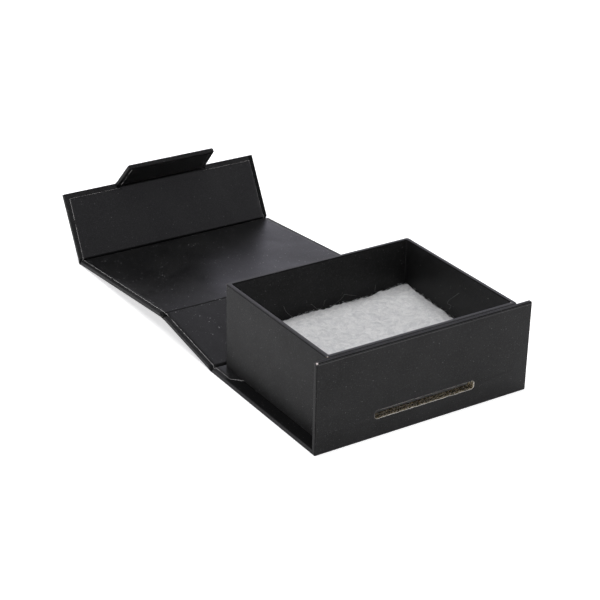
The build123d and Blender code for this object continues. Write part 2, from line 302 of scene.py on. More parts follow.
def worn_spot(tree, place, point, size):
    """Where a corner is rubbed through: 1 at a point, with a ragged border."""
    apart = tree.nodes.new("ShaderNodeVectorMath")
    apart.operation = "DISTANCE"
    tree.links.new(place, apart.inputs[0])
    apart.inputs[1].default_value = point
    ragged = grain(tree, place, 2600, detail=4.0, roughness=0.8)
    border = reckon(tree, "MULTIPLY_ADD", ragged, 2.2 * size, -0.55 * size)
    return reckon(tree, "LESS_THAN", apart.outputs["Value"], border)


def black_paper(name, colour, pale, roughness, specular):
    """The wrap's paper, from a dark colour to a paler one on its tooth."""
    made, tree, shader, place = node_material(name, roughness, specular)
    cloud = grain(tree, place, 70, detail=3.0, roughness=0.6)
    tooth = grain(tree, place, 1500, detail=4.0, roughness=0.8)
    fibre = grain(tree, place, 3800, detail=2.0, roughness=0.6)
    body = blended(tree, ramp(tree, cloud, (0.35, 0.0), (0.70, 0.25)), colour, pale)
    body = blended(tree, ramp(tree, tooth, (0.50, 0.0), (0.68, 1.0)), body, pale)
    body = dusted(tree, place, body, 900, 0.15 * mm, 0.40, 0.16, (0.40, 0.40, 0.40))
    body = dusted(tree, place, body, 330, 0.22 * mm, 0.30, 0.24, (0.42, 0.42, 0.42))
    for point, size in rubbed_corners:
        body = blended(tree, worn_spot(tree, place, point, size), body, rubbed_through)
    tree.links.new(body, shader.inputs["Base Color"])
    uneven = ramp(tree, tooth, (0.3, roughness - 0.08), (0.7, roughness + 0.08))
    tree.links.new(uneven, shader.inputs["Roughness"])
    relief(tree, shader, reckon(tree, "MULTIPLY_ADD", fibre, 0.5, tooth), 0.07 * mm)
    return made


wrap_paper = black_paper(
    "outer_black_paper", (0.0032, 0.0032, 0.0032), (0.026, 0.026, 0.026),
    roughness=0.45, specular=0.30,
)
# A darker, duller copy of the wrap paper: painted shade, for the folds, strips, brims and margin
# where the wrap lies in shade.
shade_paper = black_paper(
    "wrap_painted_shade", (0.0030, 0.0030, 0.0031), (0.008, 0.008, 0.008),
    roughness=0.6, specular=0.12,
)
# A paler, glossier copy of the wrap paper: painted highlight on folds that catch the light, which
# are also rubbed.
rubbed_highlight_paper = black_paper(
    "rubbed_wrap_painted_highlight", (0.022, 0.022, 0.0222), (0.075, 0.075, 0.075),
    roughness=0.5, specular=0.5,
)
# A darker copy of the wrap paper: painted shade on the tray's inner walls, down in the well.
inner_shade_paper = black_paper(
    "inner_wrap_painted_shade", (0.0028, 0.0028, 0.0028), (0.020, 0.020, 0.020),
    roughness=0.45, specular=0.24,
)
# A glossier, paler copy of the wrap paper: painted sheen on the tops of the rims.
rim_sheen_paper = black_paper(
    "rim_wrap_painted_sheen", (0.010, 0.010, 0.0102), (0.045, 0.045, 0.046),
    roughness=0.42, specular=0.62,
)

torn_paper, tree, shader, place = node_material("torn_wrap_edge", roughness=0.9, specular=0.2)
torn = grain(tree, place, 1500, detail=4.0, roughness=0.8)
dirt, ply, fluff = (0.06, 0.055, 0.045), (0.55, 0.53, 0.48), (0.86, 0.84, 0.80)
body = ramp(tree, torn, (0.32, dirt), (0.46, ply), (0.65, fluff))
tree.links.new(body, shader.inputs["Base Color"])
relief(tree, shader, torn, 0.08 * mm)

# ---- Lining paper ----
# One sheet of smoother, half-glossy black paper is glued over the turned-in wrap, from the base's
# tongue to the tab. Fine dust lies on it. Its cut edge shows the white core as a thin line, which
# has taken up stain in patches.


def cut_core(name, stain_level):
    """The white core of cut paper, stained in patches, which are larger above a level."""
    made, tree, shader, place = node_material(name, roughness=0.9, specular=0.2)
    edge_grain = grain(tree, place, 1600, detail=3.0, roughness=0.7)
    patches = grain(tree, place, 330, detail=2.0, roughness=0.6)
    above = reckon(tree, "GREATER_THAN", along_axis(tree, place, 2), stain_level)
    patches = reckon(tree, "MULTIPLY_ADD", above, -0.13, patches)
    clean = ramp(tree, patches, (0.34, 0.0), (0.44, 1.0))
    pale = ramp(tree, edge_grain, (0.30, (0.28, 0.27, 0.27)), (0.60, (0.66, 0.65, 0.64)))
    body = blended(tree, clean, (0.02, 0.02, 0.02), pale)
    tree.links.new(body, shader.inputs["Base Color"])
    relief(tree, shader, edge_grain, 0.05 * mm)
    return made


core_paper = cut_core("cut_paper_core", 33.5 * mm)
clean_core = cut_core("clean_cut_paper_core", 1.0)

lining_paper, tree, shader, place = node_material(
    "lining_black_paper", roughness=0.36, specular=0.42
)
film = grain(tree, place, 26, detail=4.0, roughness=0.62, distortion=0.6)
pores = grain(tree, place, 2400, detail=3.0, roughness=0.7)
deep, clouded, pore = (0.0030, 0.0030, 0.0031), (0.0076, 0.0077, 0.0075), (0.024, 0.024, 0.0245)
body = blended(tree, ramp(tree, film, (0.44, 0.0), (0.64, 1.0)), deep, clouded)
body = blended(tree, ramp(tree, pores, (0.50, 0.0), (0.66, 1.0)), body, pore)
lying = reckon(tree, "LESS_THAN", along_axis(tree, place, 1), 191.0 * mm)
drifts = ramp(tree, grain(tree, place, 38, detail=2.0, roughness=0.5), (0.32, 0.45), (0.52, 1.0))
drifts = reckon(tree, "MULTIPLY", drifts, reckon(tree, "MULTIPLY_ADD", lying, 0.75, 0.25))
for scale, size, share, strength, tone in (
    (900, 0.17 * mm, 0.25, 0.30, (0.50, 0.50, 0.51)),
    (520, 0.26 * mm, 0.17, 0.50, (0.55, 0.55, 0.56)),
):
    drifted = reckon(tree, "MULTIPLY", drifts, strength)
    body = dusted(tree, place, body, scale, size, share, drifted, tone)
tree.links.new(body, shader.inputs["Base Color"])
tree.links.new(ramp(tree, film, (0.35, 0.31), (0.72, 0.43)), shader.inputs["Roughness"])
relief(tree, shader, reckon(tree, "MULTIPLY_ADD", film, 2.0, pores), 0.025 * mm)

# ---- Base and front panel ----
# Two panels under one wrap, set up square for good: the paper runs under the base, round the
# bottom corner, up the front panel and over its top edge. The slot is punched through it.

hair = 1e-6  # metres: places that are nearer than this are the same place
paper, edge = 0.2 * mm, 2.4 * mm
fold_radius, rim_radius, side_radius = 0.42 * mm, 0.66 * mm, 0.38 * mm
tip, bend, shoulder, lift = 0.45 * mm, 1.6 * mm, 2.45 * mm, 0.15 * mm
half_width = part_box("base_wrap")[1].x
front_face, rim_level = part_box("front_wrap")[0].y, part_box("front_wrap")[1].z
inner_face = front_face + edge
hinges = {joint["child"]: joint for joint in frame["joints"]}
lines = {panel: Vector(hinge["pos_m"]) for panel, hinge in hinges.items()}
back_line = lines["spine"].y
slot_half, slot_shift, slot_round = 28.6 * mm, 0.25 * mm, 1.6 * mm
slot_middle, slot_half_height = 11.8 * mm, 2.1 * mm
noise.seed_set(11)  # noise_vector, which roughens the slot, is seeded by the clock otherwise
cover_finishes = [
    wrap_paper, greyboard, torn_paper, shade_paper, rubbed_highlight_paper, rim_sheen_paper, inner_shade_paper
]
WRAP, BOARD, TORN, PAINTED_SHADE, RUBBED_HIGHLIGHT, RIM_SHEEN, INNER_SHADE = range(len(cover_finishes))


def block(low_outline, high_outline):
    """A closed block between two outlines of as many corners, the lower and the upper."""
    shape = bmesh.new()
    for outline in (low_outline, high_outline):
        shape.faces.new([shape.verts.new(corner) for corner in outline])
    bmesh.ops.bridge_loops(shape, edges=shape.edges[:])
    bmesh.ops.recalc_face_normals(shape, faces=shape.faces)
    return shape


def slice_at(shape, spot, normal, drop_beyond=False):
    """Cut every face that crosses a plane."""
    everything = shape.verts[:] + shape.edges[:] + shape.faces[:]
    bmesh.ops.bisect_plane(
        shape, geom=everything, plane_co=spot, plane_no=normal, clear_outer=drop_beyond
    )


def bevel(shape, edges, radius, segments):
    """Round some edges, and return the new faces."""
    cut = bmesh.ops.bevel(
        shape, geom=edges, offset=radius, segments=segments, profile=0.5, affect="EDGES",
        material=-1,
    )
    return cut["faces"]


def round_edges(shape, chosen, radius, segments=4):
    """Round the edges whose two ends pass a test."""
    bevel(shape, [e for e in shape.edges if chosen(*(v.co for v in e.verts))], radius, segments)
    shape.normal_update()


def mark_fold(shape, chosen, start, toward, finishes):
    """Give a rounded fold its finishes by how far, in degrees, it has turned from start."""
    for face in shape.faces:
        if chosen(face.calc_center_median()):
            across, ahead = face.normal.dot(Vector(toward)), face.normal.dot(Vector(start))
            turned = math.degrees(math.atan2(across, ahead))
            for low, high, finish in finishes:
                if low < turned < high:
                    face.material_index = finish


def finished(name, shape, finishes, sharp=38):
    """The shape as a named piece, smooth but for its sharp edges."""
    mesh = bpy.data.meshes.new(name)
    shape.to_mesh(mesh)
    shape.free()
    mesh.polygons.foreach_set("use_smooth", [True] * len(mesh.polygons))
    mesh.set_sharp_from_angle(angle=math.radians(sharp))
    for finish in finishes:
        mesh.materials.append(finish)
    piece = new_object(name, mesh)
    return piece


def on_side(a, b, x):
    """Whether both ends of an edge are on the same side face."""
    return abs(abs(a.x) - x) < hair and abs(abs(b.x) - x) < hair and a.x * b.x > 0


def runs_across(a, b, y, z):
    """Whether an edge runs the full width at a depth and a height."""
    return abs(a.x - b.x) > 2 * half_width - hair and abs(a.y - y) < hair and abs(a.z - z) < hair


def punch_slot(shape, outside, inside, rim_finish):
    """Cut the slot through a wall between two Y planes; its sides are raw greyboard."""
    for end in (slot_half, -slot_half):
        slice_at(shape, (slot_shift + end, 0, 0), (1, 0, 0))
    for end in (-slot_half_height, slot_half_height):
        slice_at(shape, (0, 0, slot_middle + end), (0, 0, 1))

    def in_slot(point, margin):
        return (
            min(outside, inside) - hair < point.y < max(outside, inside) + hair
            and abs(point.x - slot_shift) < slot_half + margin
            and abs(point.z - slot_middle) < slot_half_height + margin
        )

    def slot_edges(margin, test):
        return [
            e for e in shape.edges
            if all(in_slot(v.co, margin) for v in e.verts)
            and test(e.verts[0].co - e.verts[1].co)
        ]

    plugs = [
        f for f in shape.faces
        if in_slot(f.calc_center_median(), -0.1 * mm) and abs(f.normal.y) > 0.9
    ]
    rims = list({e for face in plugs for e in face.edges})
    bmesh.ops.delete(shape, geom=plugs, context="FACES_ONLY")
    bmesh.ops.bridge_loops(shape, edges=rims)
    shape.normal_update()
    bevel(shape, slot_edges(hair, lambda run: abs(run.y) > mm), slot_round, 6)
    shape.normal_update()
    for face in shape.faces:
        if all(in_slot(v.co, hair) for v in face.verts) and abs(face.normal.y) < 0.5:
            face.material_index = BOARD
    # The slot's inner brim is given painted shade.
    for level, finish, size in ((outside, rim_finish, 0.15 * mm), (inside, PAINTED_SHADE, 0.22 * mm)):
        brim = [
            e for e in shape.edges
            if sorted(f.material_index == BOARD for f in e.link_faces) == [False, True]
            and abs(e.verts[0].co.y - level) < hair
        ]
        for face in bevel(shape, brim, size, 2):
            face.material_index = finish
    margin = 0.3 * mm
    for runs, cuts in ((lambda run: abs(run.x) > 20 * mm, 70), (lambda run: abs(run.y) > mm, 4)):
        bmesh.ops.subdivide_edges(
            shape, edges=slot_edges(margin, runs), cuts=cuts, use_grid_fill=True
        )
    for v in shape.verts:
        if in_slot(v.co, margin):
            at_face = min(abs(v.co.y - outside), abs(v.co.y - inside)) < hair
            rough = noise.noise_vector(v.co * 1500) * 0.10 * mm
            rough += noise.noise_vector(v.co * 260) * 0.14 * mm
            v.co += Vector((0.6 * rough.x, 0, rough.z)) * (0.7 if at_face else 1.0)


side_profile = [
    (front_face, 0), (back_line - bend, 0), (back_line - tip, lift), (back_line - shoulder, edge),
    (inner_face, edge), (inner_face, rim_level), (front_face, rim_level),
]
shape = block(*([(x, y, z) for y, z in side_profile] for x in (-half_width, half_width)))
round_edges(
    shape,
    lambda a, b: any(runs_across(a, b, y, rim_level) for y in (front_face, inner_face)),
    rim_radius, 6,
)
round_edges(shape, lambda a, b: runs_across(a, b, front_face, 0), fold_radius)
round_edges(shape, lambda a, b: on_side(a, b, half_width), side_radius)
# The rounded top edges get painted sheen on top, a painted shade line, then a painted highlight
# line; the bottom fold gets a painted highlight.
mark_fold(
    shape, lambda c: c.z > rim_level - rim_radius and c.y < front_face + rim_radius,
    (0, 0, 1), (0, -1, 0), ((-20, 34, RIM_SHEEN), (48, 77, PAINTED_SHADE), (77, 89, RUBBED_HIGHLIGHT)),
)
mark_fold(
    shape, lambda c: c.z < fold_radius and c.y < front_face + fold_radius,
    (0, -1, 0), (0, 0, -1), ((5, 60, RUBBED_HIGHLIGHT),),
)
# Painted shade on the front rounding of each side face, and a painted highlight on its back
# rounding.
side_strip = half_width - 0.4 * mm
for side in (-1, 1):
    mark_fold(
        shape, lambda c: c.x * side > side_strip and c.z > edge and c.y < inner_face + hair,
        (side, 0, 0), (0, -1, 0), ((12, 78, PAINTED_SHADE),),
    )
    mark_fold(
        shape,
        lambda c: c.x * side > side_strip and edge + mm < c.z < rim_level - mm
        and c.y < inner_face + hair,
        (side, 0, 0), (0, 1, 0), ((30, 80, RUBBED_HIGHLIGHT),),
    )
# A painted shade band just under the front's rounded top edge, a painted highlight band below it,
# and painted shade on the base's strip beside the tray, up to a depth.
shade_band_foot, highlight_band_foot = rim_level - 0.95 * mm, rim_level - 1.35 * mm
shaded_strip_until = 33 * mm
for level in (shade_band_foot, highlight_band_foot):
    slice_at(shape, (0, 0, level), (0, 0, 1))
slice_at(shape, (0, shaded_strip_until, 0), (0, 1, 0))
for face in shape.faces:
    middle = face.calc_center_median()
    on_front = middle.y < front_face + 0.05 * mm and abs(face.normal.y) > 0.9
    if on_front and highlight_band_foot < middle.z < rim_level - rim_radius:
        face.material_index = PAINTED_SHADE if middle.z > shade_band_foot else RUBBED_HIGHLIGHT
    elif face.normal.z > 0.9 and abs(middle.z - edge) < hair and middle.y < shaded_strip_until:
        face.material_index = PAINTED_SHADE
punch_slot(shape, front_face, inner_face, TORN)
cover = finished("base_and_front_wrap", shape, cover_finishes)
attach(cover, "tray_and_base")
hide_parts("base_wrap", "front_wrap")

# ---- Wrapped spine and lid ----
# Each is a board in the same black paper, mitred on the inside where it meets its neighbour, so
# that the cover folds square. Its sides are folded edges.

panels = ["spine", "lid", "flap", "tab"]
parents = {panel: hinges[panel]["parent"] for panel in panels}
turns = {panel: math.radians(90 - hinges[panel]["range_deg"][1]) for panel in panels}
angles = {"tray_and_base": 0.0}
for panel in panels:
    angles[panel] = angles[parents[panel]] + turns[panel]
spans = {near: (lines[far] - lines[near]).length for near, far in zip(panels, panels[1:])}
flat = 4.0 * mm


def mirrored_block(low_right, high_right):
    """A block that is the same left and right, from the right halves of its two outlines."""
    return block(*(
        half + [(-x, y, z) for x, y, z in reversed(half)] for half in (low_right, high_right)
    ))


def wrapped_panel(panel, shape, finishes):
    """Lay a flat-built panel on its hinge line at its resting angle, and make it a piece."""
    tilt = Matrix.Rotation(angles[panel], 4, "X")
    move = Matrix.Translation(lines[panel]) @ tilt @ Matrix.Translation((0, 0, -paper))
    bmesh.ops.transform(shape, matrix=move, verts=shape.verts)
    piece = finished(panel + "_wrapped", shape, finishes)
    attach(piece, panel)
    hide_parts(panel + "_wrap")


for panel in ("spine", "lid"):
    span = spans[panel]
    low = ((tip, lift), (bend, 0), (span - bend, 0), (span - tip, lift))
    high = ((shoulder, edge), (flat, edge), (span - flat, edge), (span - shoulder, edge))
    shape = mirrored_block(*([(half_width, y, z) for y, z in side] for side in (low, high)))
    round_edges(shape, lambda a, b: on_side(a, b, half_width), fold_radius)
    wrapped_panel(panel, shape, [wrap_paper])

# ---- Wrapped flap ----
# A board in the same paper, mitred at the lid. Its free edge is a fold, open in the middle, where
# the tab hangs from it. The margin on the right, beside its lining, is painted darker: painted
# shade.

flap_finishes = [wrap_paper, shade_paper]
gap_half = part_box("tab_wrap")[1].x + 0.5 * mm
span = spans["flap"]
flap_top = span + paper
margin_line = half_width - 2.8 * mm
shape = mirrored_block(
    [
        (half_width, tip, lift), (half_width, bend, 0), (half_width, flap_top, 0),
        (gap_half, flap_top, 0), (gap_half, span - tip, 0),
    ],
    [
        (half_width, shoulder, edge), (half_width, flat, edge), (half_width, flap_top, edge),
        (gap_half, flap_top, edge), (gap_half, span - shoulder, edge),
    ],
)
slice_at(shape, (0, span - bend, 0), (0, 1, 0))
for x in (gap_half, -gap_half):
    slice_at(shape, (x, 0, 0), (1, 0, 0))
for v in shape.verts:
    if abs(v.co.x) < gap_half + hair and abs(v.co.y - span + tip) < hair and v.co.z < hair:
        v.co.z = lift


def on_free_edge(a, b):
    """Whether an edge runs level along the flap's free edge."""
    return all(abs(end.y - flap_top) < hair for end in (a, b)) and abs(a.z - b.z) < hair


round_edges(
    shape, lambda a, b: on_side(a, b, half_width) or on_free_edge(a, b), fold_radius
)
slice_at(shape, (margin_line, 0, 0), (1, 0, 0))
# Painted shade on the flap's right margin.
for face in shape.faces:
    if face.calc_center_median().x > margin_line and face.normal.z > 0.3:
        face.material_index = flap_finishes.index(shade_paper)
wrapped_panel("flap", shape, flap_finishes)

# ---- Wrapped tab ----
# A narrower board in the same paper, which tapers a little towards its tip. The tip's two corners
# are rounded, so that it finds the slot.

root_half, tip_half, reach = 28.2 * mm, 27.1 * mm, 22.0 * mm
tip_corner = 1.0 * mm


def tab_half(y):
    """Half of the tab's width at a distance from its hinge."""
    return root_half + (tip_half - root_half) * y / reach


def at_tip(point):
    """Whether a point is on the tab's end face."""
    return abs(point.y - reach) < hair


shape = mirrored_block(
    [(tab_half(tip), tip, lift), (tab_half(bend), bend, 0), (tip_half, reach, 0)],
    [(tab_half(shoulder), shoulder, edge), (tab_half(flat), flat, edge), (tip_half, reach, edge)],
)
round_edges(
    shape, lambda a, b: at_tip(a) and at_tip(b) and abs(a.z - b.z) > 0.1 * mm, tip_corner, 5
)
round_edges(
    shape,
    lambda a, b: abs(a.z - b.z) < 0.2 * mm and (a.y > tip + hair or b.y > tip + hair)
    and (abs(a.x - b.x) < 5 * mm or at_tip(a)),
    fold_radius,
)
wrapped_panel("tab", shape, [wrap_paper])

# ---- Wrap across the four hinges ----
# The outer wrap runs on from panel to panel, and bends on each hinge line. A strip of it there is
# bent on the hinge line, to the two panels' resting angles.


def sheet_grid(across, along):
    """A flat sheet with its grid lines at the given places across and along."""
    shape = bmesh.new()
    last_x, last_y = len(across) - 1, len(along) - 1
    bmesh.ops.create_grid(shape, x_segments=last_x, y_segments=last_y, size=1)
    for v in shape.verts:
        v.co.x = across[round((v.co.x + 1) / 2 * last_x)]
        v.co.y = along[round((v.co.y + 1) / 2 * last_y)]
    return shape


def steps(first, last, size):
    """Even places from first to last, no further apart than a size."""
    count = max(1, math.ceil((last - first) / size))
    return [first + (last - first) * i / count for i in range(count + 1)]


def eased(value, low, high):
    """0 below low, 1 above high, and smooth between them."""
    t = min(1.0, max(0.0, (value - low) / (high - low)))
    return t * t * (3 - 2 * t)


def fold_over(shape, panel, band):
    """Bend a flat sheet on a panel's hinge line, and lay it on the parent's resting plane."""
    place = Matrix.Translation(lines[panel]) @ Matrix.Rotation(angles[parents[panel]], 4, "X")
    for v in shape.verts:
        local = Vector((v.co.x, v.co.y, v.co.z - paper))
        share = eased(v.co.y, -band, band)
        v.co = place @ (Matrix.Rotation(turns[panel] * share, 3, "X") @ local)
    return shape


def bend_with(piece):
    """Bake the piece's place into its mesh."""
    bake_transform(piece)


strip_halves = {panel: half_width - 0.06 * mm for panel in panels}
strip_halves["tab"] = root_half - 0.1 * mm
before_line = [-bend, -1.2 * mm, -0.8 * mm, -0.5 * mm, -0.3 * mm, -0.15 * mm]
strip_along = before_line + [0.0] + [-y for y in reversed(before_line)]
for panel, half in strip_halves.items():
    shape = sheet_grid(steps(-half, half, 6 * mm), strip_along)
    bmesh.ops.recalc_face_normals(shape, faces=shape.faces)
    bmesh.ops.solidify(shape, geom=shape.faces[:], thickness=paper)
    lowest = min(v.co.z for v in shape.verts)
    bmesh.ops.translate(shape, vec=(0, 0, -lowest), verts=shape.verts)
    folded = fold_over(shape, panel, 0.35 * mm)
    piece = finished(panel + "_hinge_wrap", folded, [wrap_paper], 60)
    bend_with(piece)

# ---- Lining sheets ----
# The one sheet of lining is divided here on each panel, 4 mm short of the next hinge. Each part
# is glued over one open mitre, dips into it, and is bent on the hinge line to the panels' resting
# angles.

lining_thickness, wave_height, wave_scale = 0.13 * mm, 0.05 * mm, 45
inset, seam_back = 2 * mm, 4 * mm
lining_half = half_width - inset
tongue, chamfer = 15.5 * mm, 8 * mm
top_margin = 3.0 * mm
notch_half, notch_depth, root_clear = 26.2 * mm, 2.6 * mm, gap_half + 0.3 * mm
LINING, CORE = range(2)


def lining_level(x):
    """Top of the lining: on the turned-in wrap at the sides, a little lower between them."""
    turned_in = 0.10 * mm * eased(abs(x), 43.5 * mm, 46.5 * mm)
    return edge + lining_thickness * 0.6 + turned_in


def dip(y, depth, before, after):
    """How far the lining hangs into the mitre, at a distance from the hinge line."""
    width = before if y < 0 else after
    return depth * (1 - eased(min(1.0, abs(y) / width), 0.0, 1.0))


def lining_sheet(
    name, panel, half, first, last, depth, before, after, replaced, ends,
    trim=None, hidden=None, wave_layer=119.0, core=core_paper, cut_size=0.05 * mm,
):
    """A lining sheet over one hinge, with its dip there. Ends and hidden faces show no core."""
    fine = 0.2 * mm if depth < mm else 0.35 * mm
    fine_reach = max(before, after) + 1.2 * mm
    along = steps(first, -fine_reach, 4 * mm)[:-1]
    along += steps(-fine_reach, fine_reach, fine)[:-1]
    along += steps(fine_reach, last, 4 * mm)
    shape = sheet_grid(steps(-half, half, 2 * mm), along)
    if trim:
        trim(shape)
    for v in shape.verts:
        x, y = v.co.x, v.co.y
        wave = noise.noise(Vector((x * wave_scale, y * wave_scale, wave_layer))) * wave_height
        v.co.z = lining_level(x) - dip(y, depth, before, after) + wave
    bmesh.ops.recalc_face_normals(shape, faces=shape.faces)
    if sum(f.normal.z for f in shape.faces) < 0:
        bmesh.ops.reverse_faces(shape, faces=shape.faces)
    bmesh.ops.solidify(shape, geom=shape.faces[:], thickness=lining_thickness)
    shape.normal_update()
    for face in shape.faces:
        middle = face.calc_center_median()
        butted = any(abs(middle.y - end) < 0.1 * mm for end in ends)
        if abs(face.normal.z) < 0.25 and not butted and not (hidden and hidden(middle)):
            face.material_index = CORE
    brink = [
        e for e in shape.edges
        if len(e.link_faces) == 2
        and sorted(f.material_index for f in e.link_faces) == [LINING, CORE]
        and max(f.normal.z for f in e.link_faces) > 0.3
    ]
    for face in bevel(shape, brink, cut_size, 1):
        face.material_index = CORE
    fold_over(shape, panel, 0.5 * mm)
    piece = finished(name, shape, [lining_paper, core], 50)
    bend_with(piece)
    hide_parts(*replaced)


def cut_tongue(shape):
    """Cut the two corners off the end that is glued on the base."""
    for side in (-1, 1):
        slice_at(shape, (side * lining_half, -tongue, 0), (side, -1, 0), drop_beyond=True)


def clear_tab_root(shape):
    """Draw the sides in towards the top, and notch the top edge for the tab's root."""
    for v in shape.verts:
        if v.co.x > 0:
            drawn_in = eased(v.co.y, 0, 6 * mm) * 0.7 * mm
        else:
            drawn_in = max(0, v.co.y) / flap_top * mm
        v.co.x *= 1 - drawn_in / lining_half
    top_seam, notch_foot = spans["flap"] - seam_back, spans["flap"] - notch_depth
    for y in (top_seam, notch_foot):
        slice_at(shape, (0, y, 0), (0, 1, 0))
    for x in (notch_half, -notch_half, root_clear, -root_clear):
        slice_at(shape, (x, 0, 0), (1, 0, 0))

    def in_notch(c):
        wide = abs(c.x) < root_clear and c.y > notch_foot
        return wide or (abs(c.x) < notch_half and c.y > top_seam)

    gone = [f for f in shape.faces if in_notch(f.calc_center_median())]
    bmesh.ops.delete(shape, geom=gone, context="FACES")


def by_tab_root(c):
    """Whether a face of the flap's lining stands in the notch, against the tab's root."""
    above, below = spans["flap"] - 4.2 * mm, flap_top - top_margin - 0.1 * mm
    return abs(c.x) < gap_half + 0.6 * mm and above < c.y < below


def taper_tab(shape):
    """Narrow the tab's lining as the tab narrows."""
    for v in shape.verts:
        if v.co.y > 0:
            v.co.x *= (tab_half(v.co.y) - inset) / (root_half - inset)


lining_sheet(
    "base_and_spine_lining", "spine", lining_half,
    first=-tongue - chamfer, last=spans["spine"] - seam_back,
    depth=1.35 * mm, before=2.3 * mm, after=1.1 * mm,
    replaced=["base_lining_tongue", "spine_lining"], ends=[spans["spine"] - seam_back],
    trim=cut_tongue, wave_layer=106.0,
)
lining_sheet(
    "lid_lining_sheet", "lid", lining_half,
    first=-seam_back, last=spans["lid"] - seam_back,
    depth=0.6 * mm, before=0.45 * mm, after=0.45 * mm,
    replaced=["lid_lining"], ends=[-seam_back, spans["lid"] - seam_back],
)
lining_sheet(
    "flap_lining_sheet", "flap", lining_half,
    first=-seam_back, last=flap_top - top_margin,
    depth=2.0 * mm, before=2.5 * mm, after=2.5 * mm,
    replaced=["flap_lining"], ends=[-seam_back],
    trim=clear_tab_root, hidden=by_tab_root,
)
lining_sheet(
    "tab_lining_sheet", "tab", root_half - inset,
    first=-seam_back, last=reach - inset,
    depth=2.0 * mm, before=2.5 * mm, after=2.5 * mm,
    replaced=["tab_lining"], ends=[-seam_back, reach - inset],
    trim=taper_tab, hidden=lambda c: c.y < 0.3 * mm, core=clean_core, cut_size=0.12 * mm,
)

# ---- Tray ----
# Mitred greyboard walls on a floor, under one strip of black paper that covers the outside, turns
# over the rim and runs down inside. It stands glued on the base, against the front panel.

tray_low, tray_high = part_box("tray_wrap")
tray_foot = tray_low.z
well_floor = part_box("tray_floor_paper")[1].z
tray_middle = (tray_low.y + tray_high.y) / 2
width, depth = tray_high.x - tray_low.x, tray_high.y - tray_low.y
outer_corner, inner_corner = 1.6 * mm, 0.5 * mm
rim_start, highlight_line = rim_level - rim_radius, tray_high.y - 1.6 * mm


def box_shell(width, depth, low, high, radius):
    """A box open at its top, with rounded upright corners."""
    shape = bmesh.new()
    size = Matrix.Diagonal((width, depth, high - low, 1))
    middle = Matrix.Translation((0, tray_middle, (low + high) / 2))
    bmesh.ops.create_cube(shape, size=1, matrix=middle @ size)
    upright = [e for e in shape.edges if abs(e.verts[0].co.z - e.verts[1].co.z) > 0.1 * mm]
    bevel(shape, upright, radius, 5)
    lids = [f for f in shape.faces if f.calc_center_median().z > high - hair]
    bmesh.ops.delete(shape, geom=lids, context="FACES_ONLY")
    return shape


def within(point, margin):
    """Whether a point is further in than a margin from all four sides of the tray."""
    across, along = abs(point.x), abs(point.y - tray_middle)
    return across < width / 2 - margin and along < depth / 2 - margin


def on_rim(a, b, outer):
    """Whether an edge runs round the rim's outer or inner side."""
    def beyond(p):
        across, along = abs(p.x), abs(p.y - tray_middle)
        return across > width / 2 - outer_corner or along > depth / 2 - outer_corner
    level = abs(a.z - rim_level) < hair and abs(b.z - rim_level) < hair
    return level and beyond(a) == outer and beyond(b) == outer


shape = box_shell(width, depth, tray_foot, rim_level, outer_corner)
well = box_shell(width - 2 * edge, depth - 2 * edge, well_floor, rim_level, inner_corner)
bmesh.ops.reverse_faces(well, faces=well.faces)
joined = bpy.data.meshes.new("joined")
well.to_mesh(joined)
shape.from_mesh(joined)
well.free()
bpy.data.meshes.remove(joined)
bmesh.ops.bridge_loops(shape, edges=[e for e in shape.edges if len(e.link_faces) == 1])
shape.normal_update()
round_edges(shape, lambda a, b: on_rim(a, b, True), rim_radius, 6)
round_edges(shape, lambda a, b: on_rim(a, b, False), 0.48 * mm, 5)
# Painted sheen on the rim tops, a painted highlight on the back rim's outer part, and painted
# shade on the inner walls.
slice_at(shape, (0, highlight_line, 0), (0, 1, 0))
for face in shape.faces:
    middle = face.calc_center_median()
    if face.normal.z > 0.7 and middle.z > rim_start:
        face.material_index = RUBBED_HIGHLIGHT if middle.y > highlight_line else RIM_SHEEN
    elif tray_foot + mm < middle.z < rim_start and within(middle, mm):
        face.material_index = INNER_SHADE
# Painted shade on the rim's inner roundings, and a painted highlight on the back rim's outer
# rounding.
back_half, left_half, right_half = width / 2 - 2.5 * mm, depth / 2 - 2 * mm, depth / 2 - 2.5 * mm
for chosen, toward, finish in (
    (lambda c: c.x < 0 and abs(c.y - tray_middle) < left_half, (-1, 0, 0), (58, 80, PAINTED_SHADE)),
    (lambda c: c.x > 0 and abs(c.y - tray_middle) < right_half, (-1, 0, 0), (20, 85, PAINTED_SHADE)),
    (lambda c: c.y > 0 and abs(c.x) < back_half, (0, -1, 0), (8, 85, PAINTED_SHADE)),
    (lambda c: c.y > 0 and abs(c.x) < back_half, (0, 1, 0), (4, 50, RUBBED_HIGHLIGHT)),
):
    mark_fold(shape, lambda c: c.z > rim_start and chosen(c), (0, 0, 1), toward, (finish,))
punch_slot(shape, tray_low.y, tray_low.y + edge, WRAP)
tray = finished("tray_wrapped", shape, cover_finishes)
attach(tray, "tray_and_base")
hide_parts("tray_wrap", "tray_floor_paper")

# ---- Corner stays ----
# Brown paper angles, glued under the wrap, hold the tray's four upright corners. The CAD node
# stays, out of sight, with a finish of its own.

stay_paper, tree, shader, place = node_material("stay_paper", roughness=0.85, specular=0.3)
kraft = ramp(tree, grain(tree, place, 900), (0.3, (0.30, 0.22, 0.13)), (0.7, (0.42, 0.31, 0.19)))
tree.links.new(kraft, shader.inputs["Base Color"])
dress("tray_corner_stays", stay_paper)

# ---- Wadding pad ----
# A thick cut of loose white polyester wadding, pressed down into the tray: a matted web of fine
# fibres with no cover, ragged where it meets the walls. The shut tab slides into its pocket.

wadding, tree, shader, place = node_material("wadding", roughness=1.0, specular=0.1)
mat = grain(tree, place, 300, detail=5.0, roughness=0.75, distortion=0.8)
hair_grain = grain(tree, place, 2300, detail=4.0, roughness=0.8, distortion=2.0)
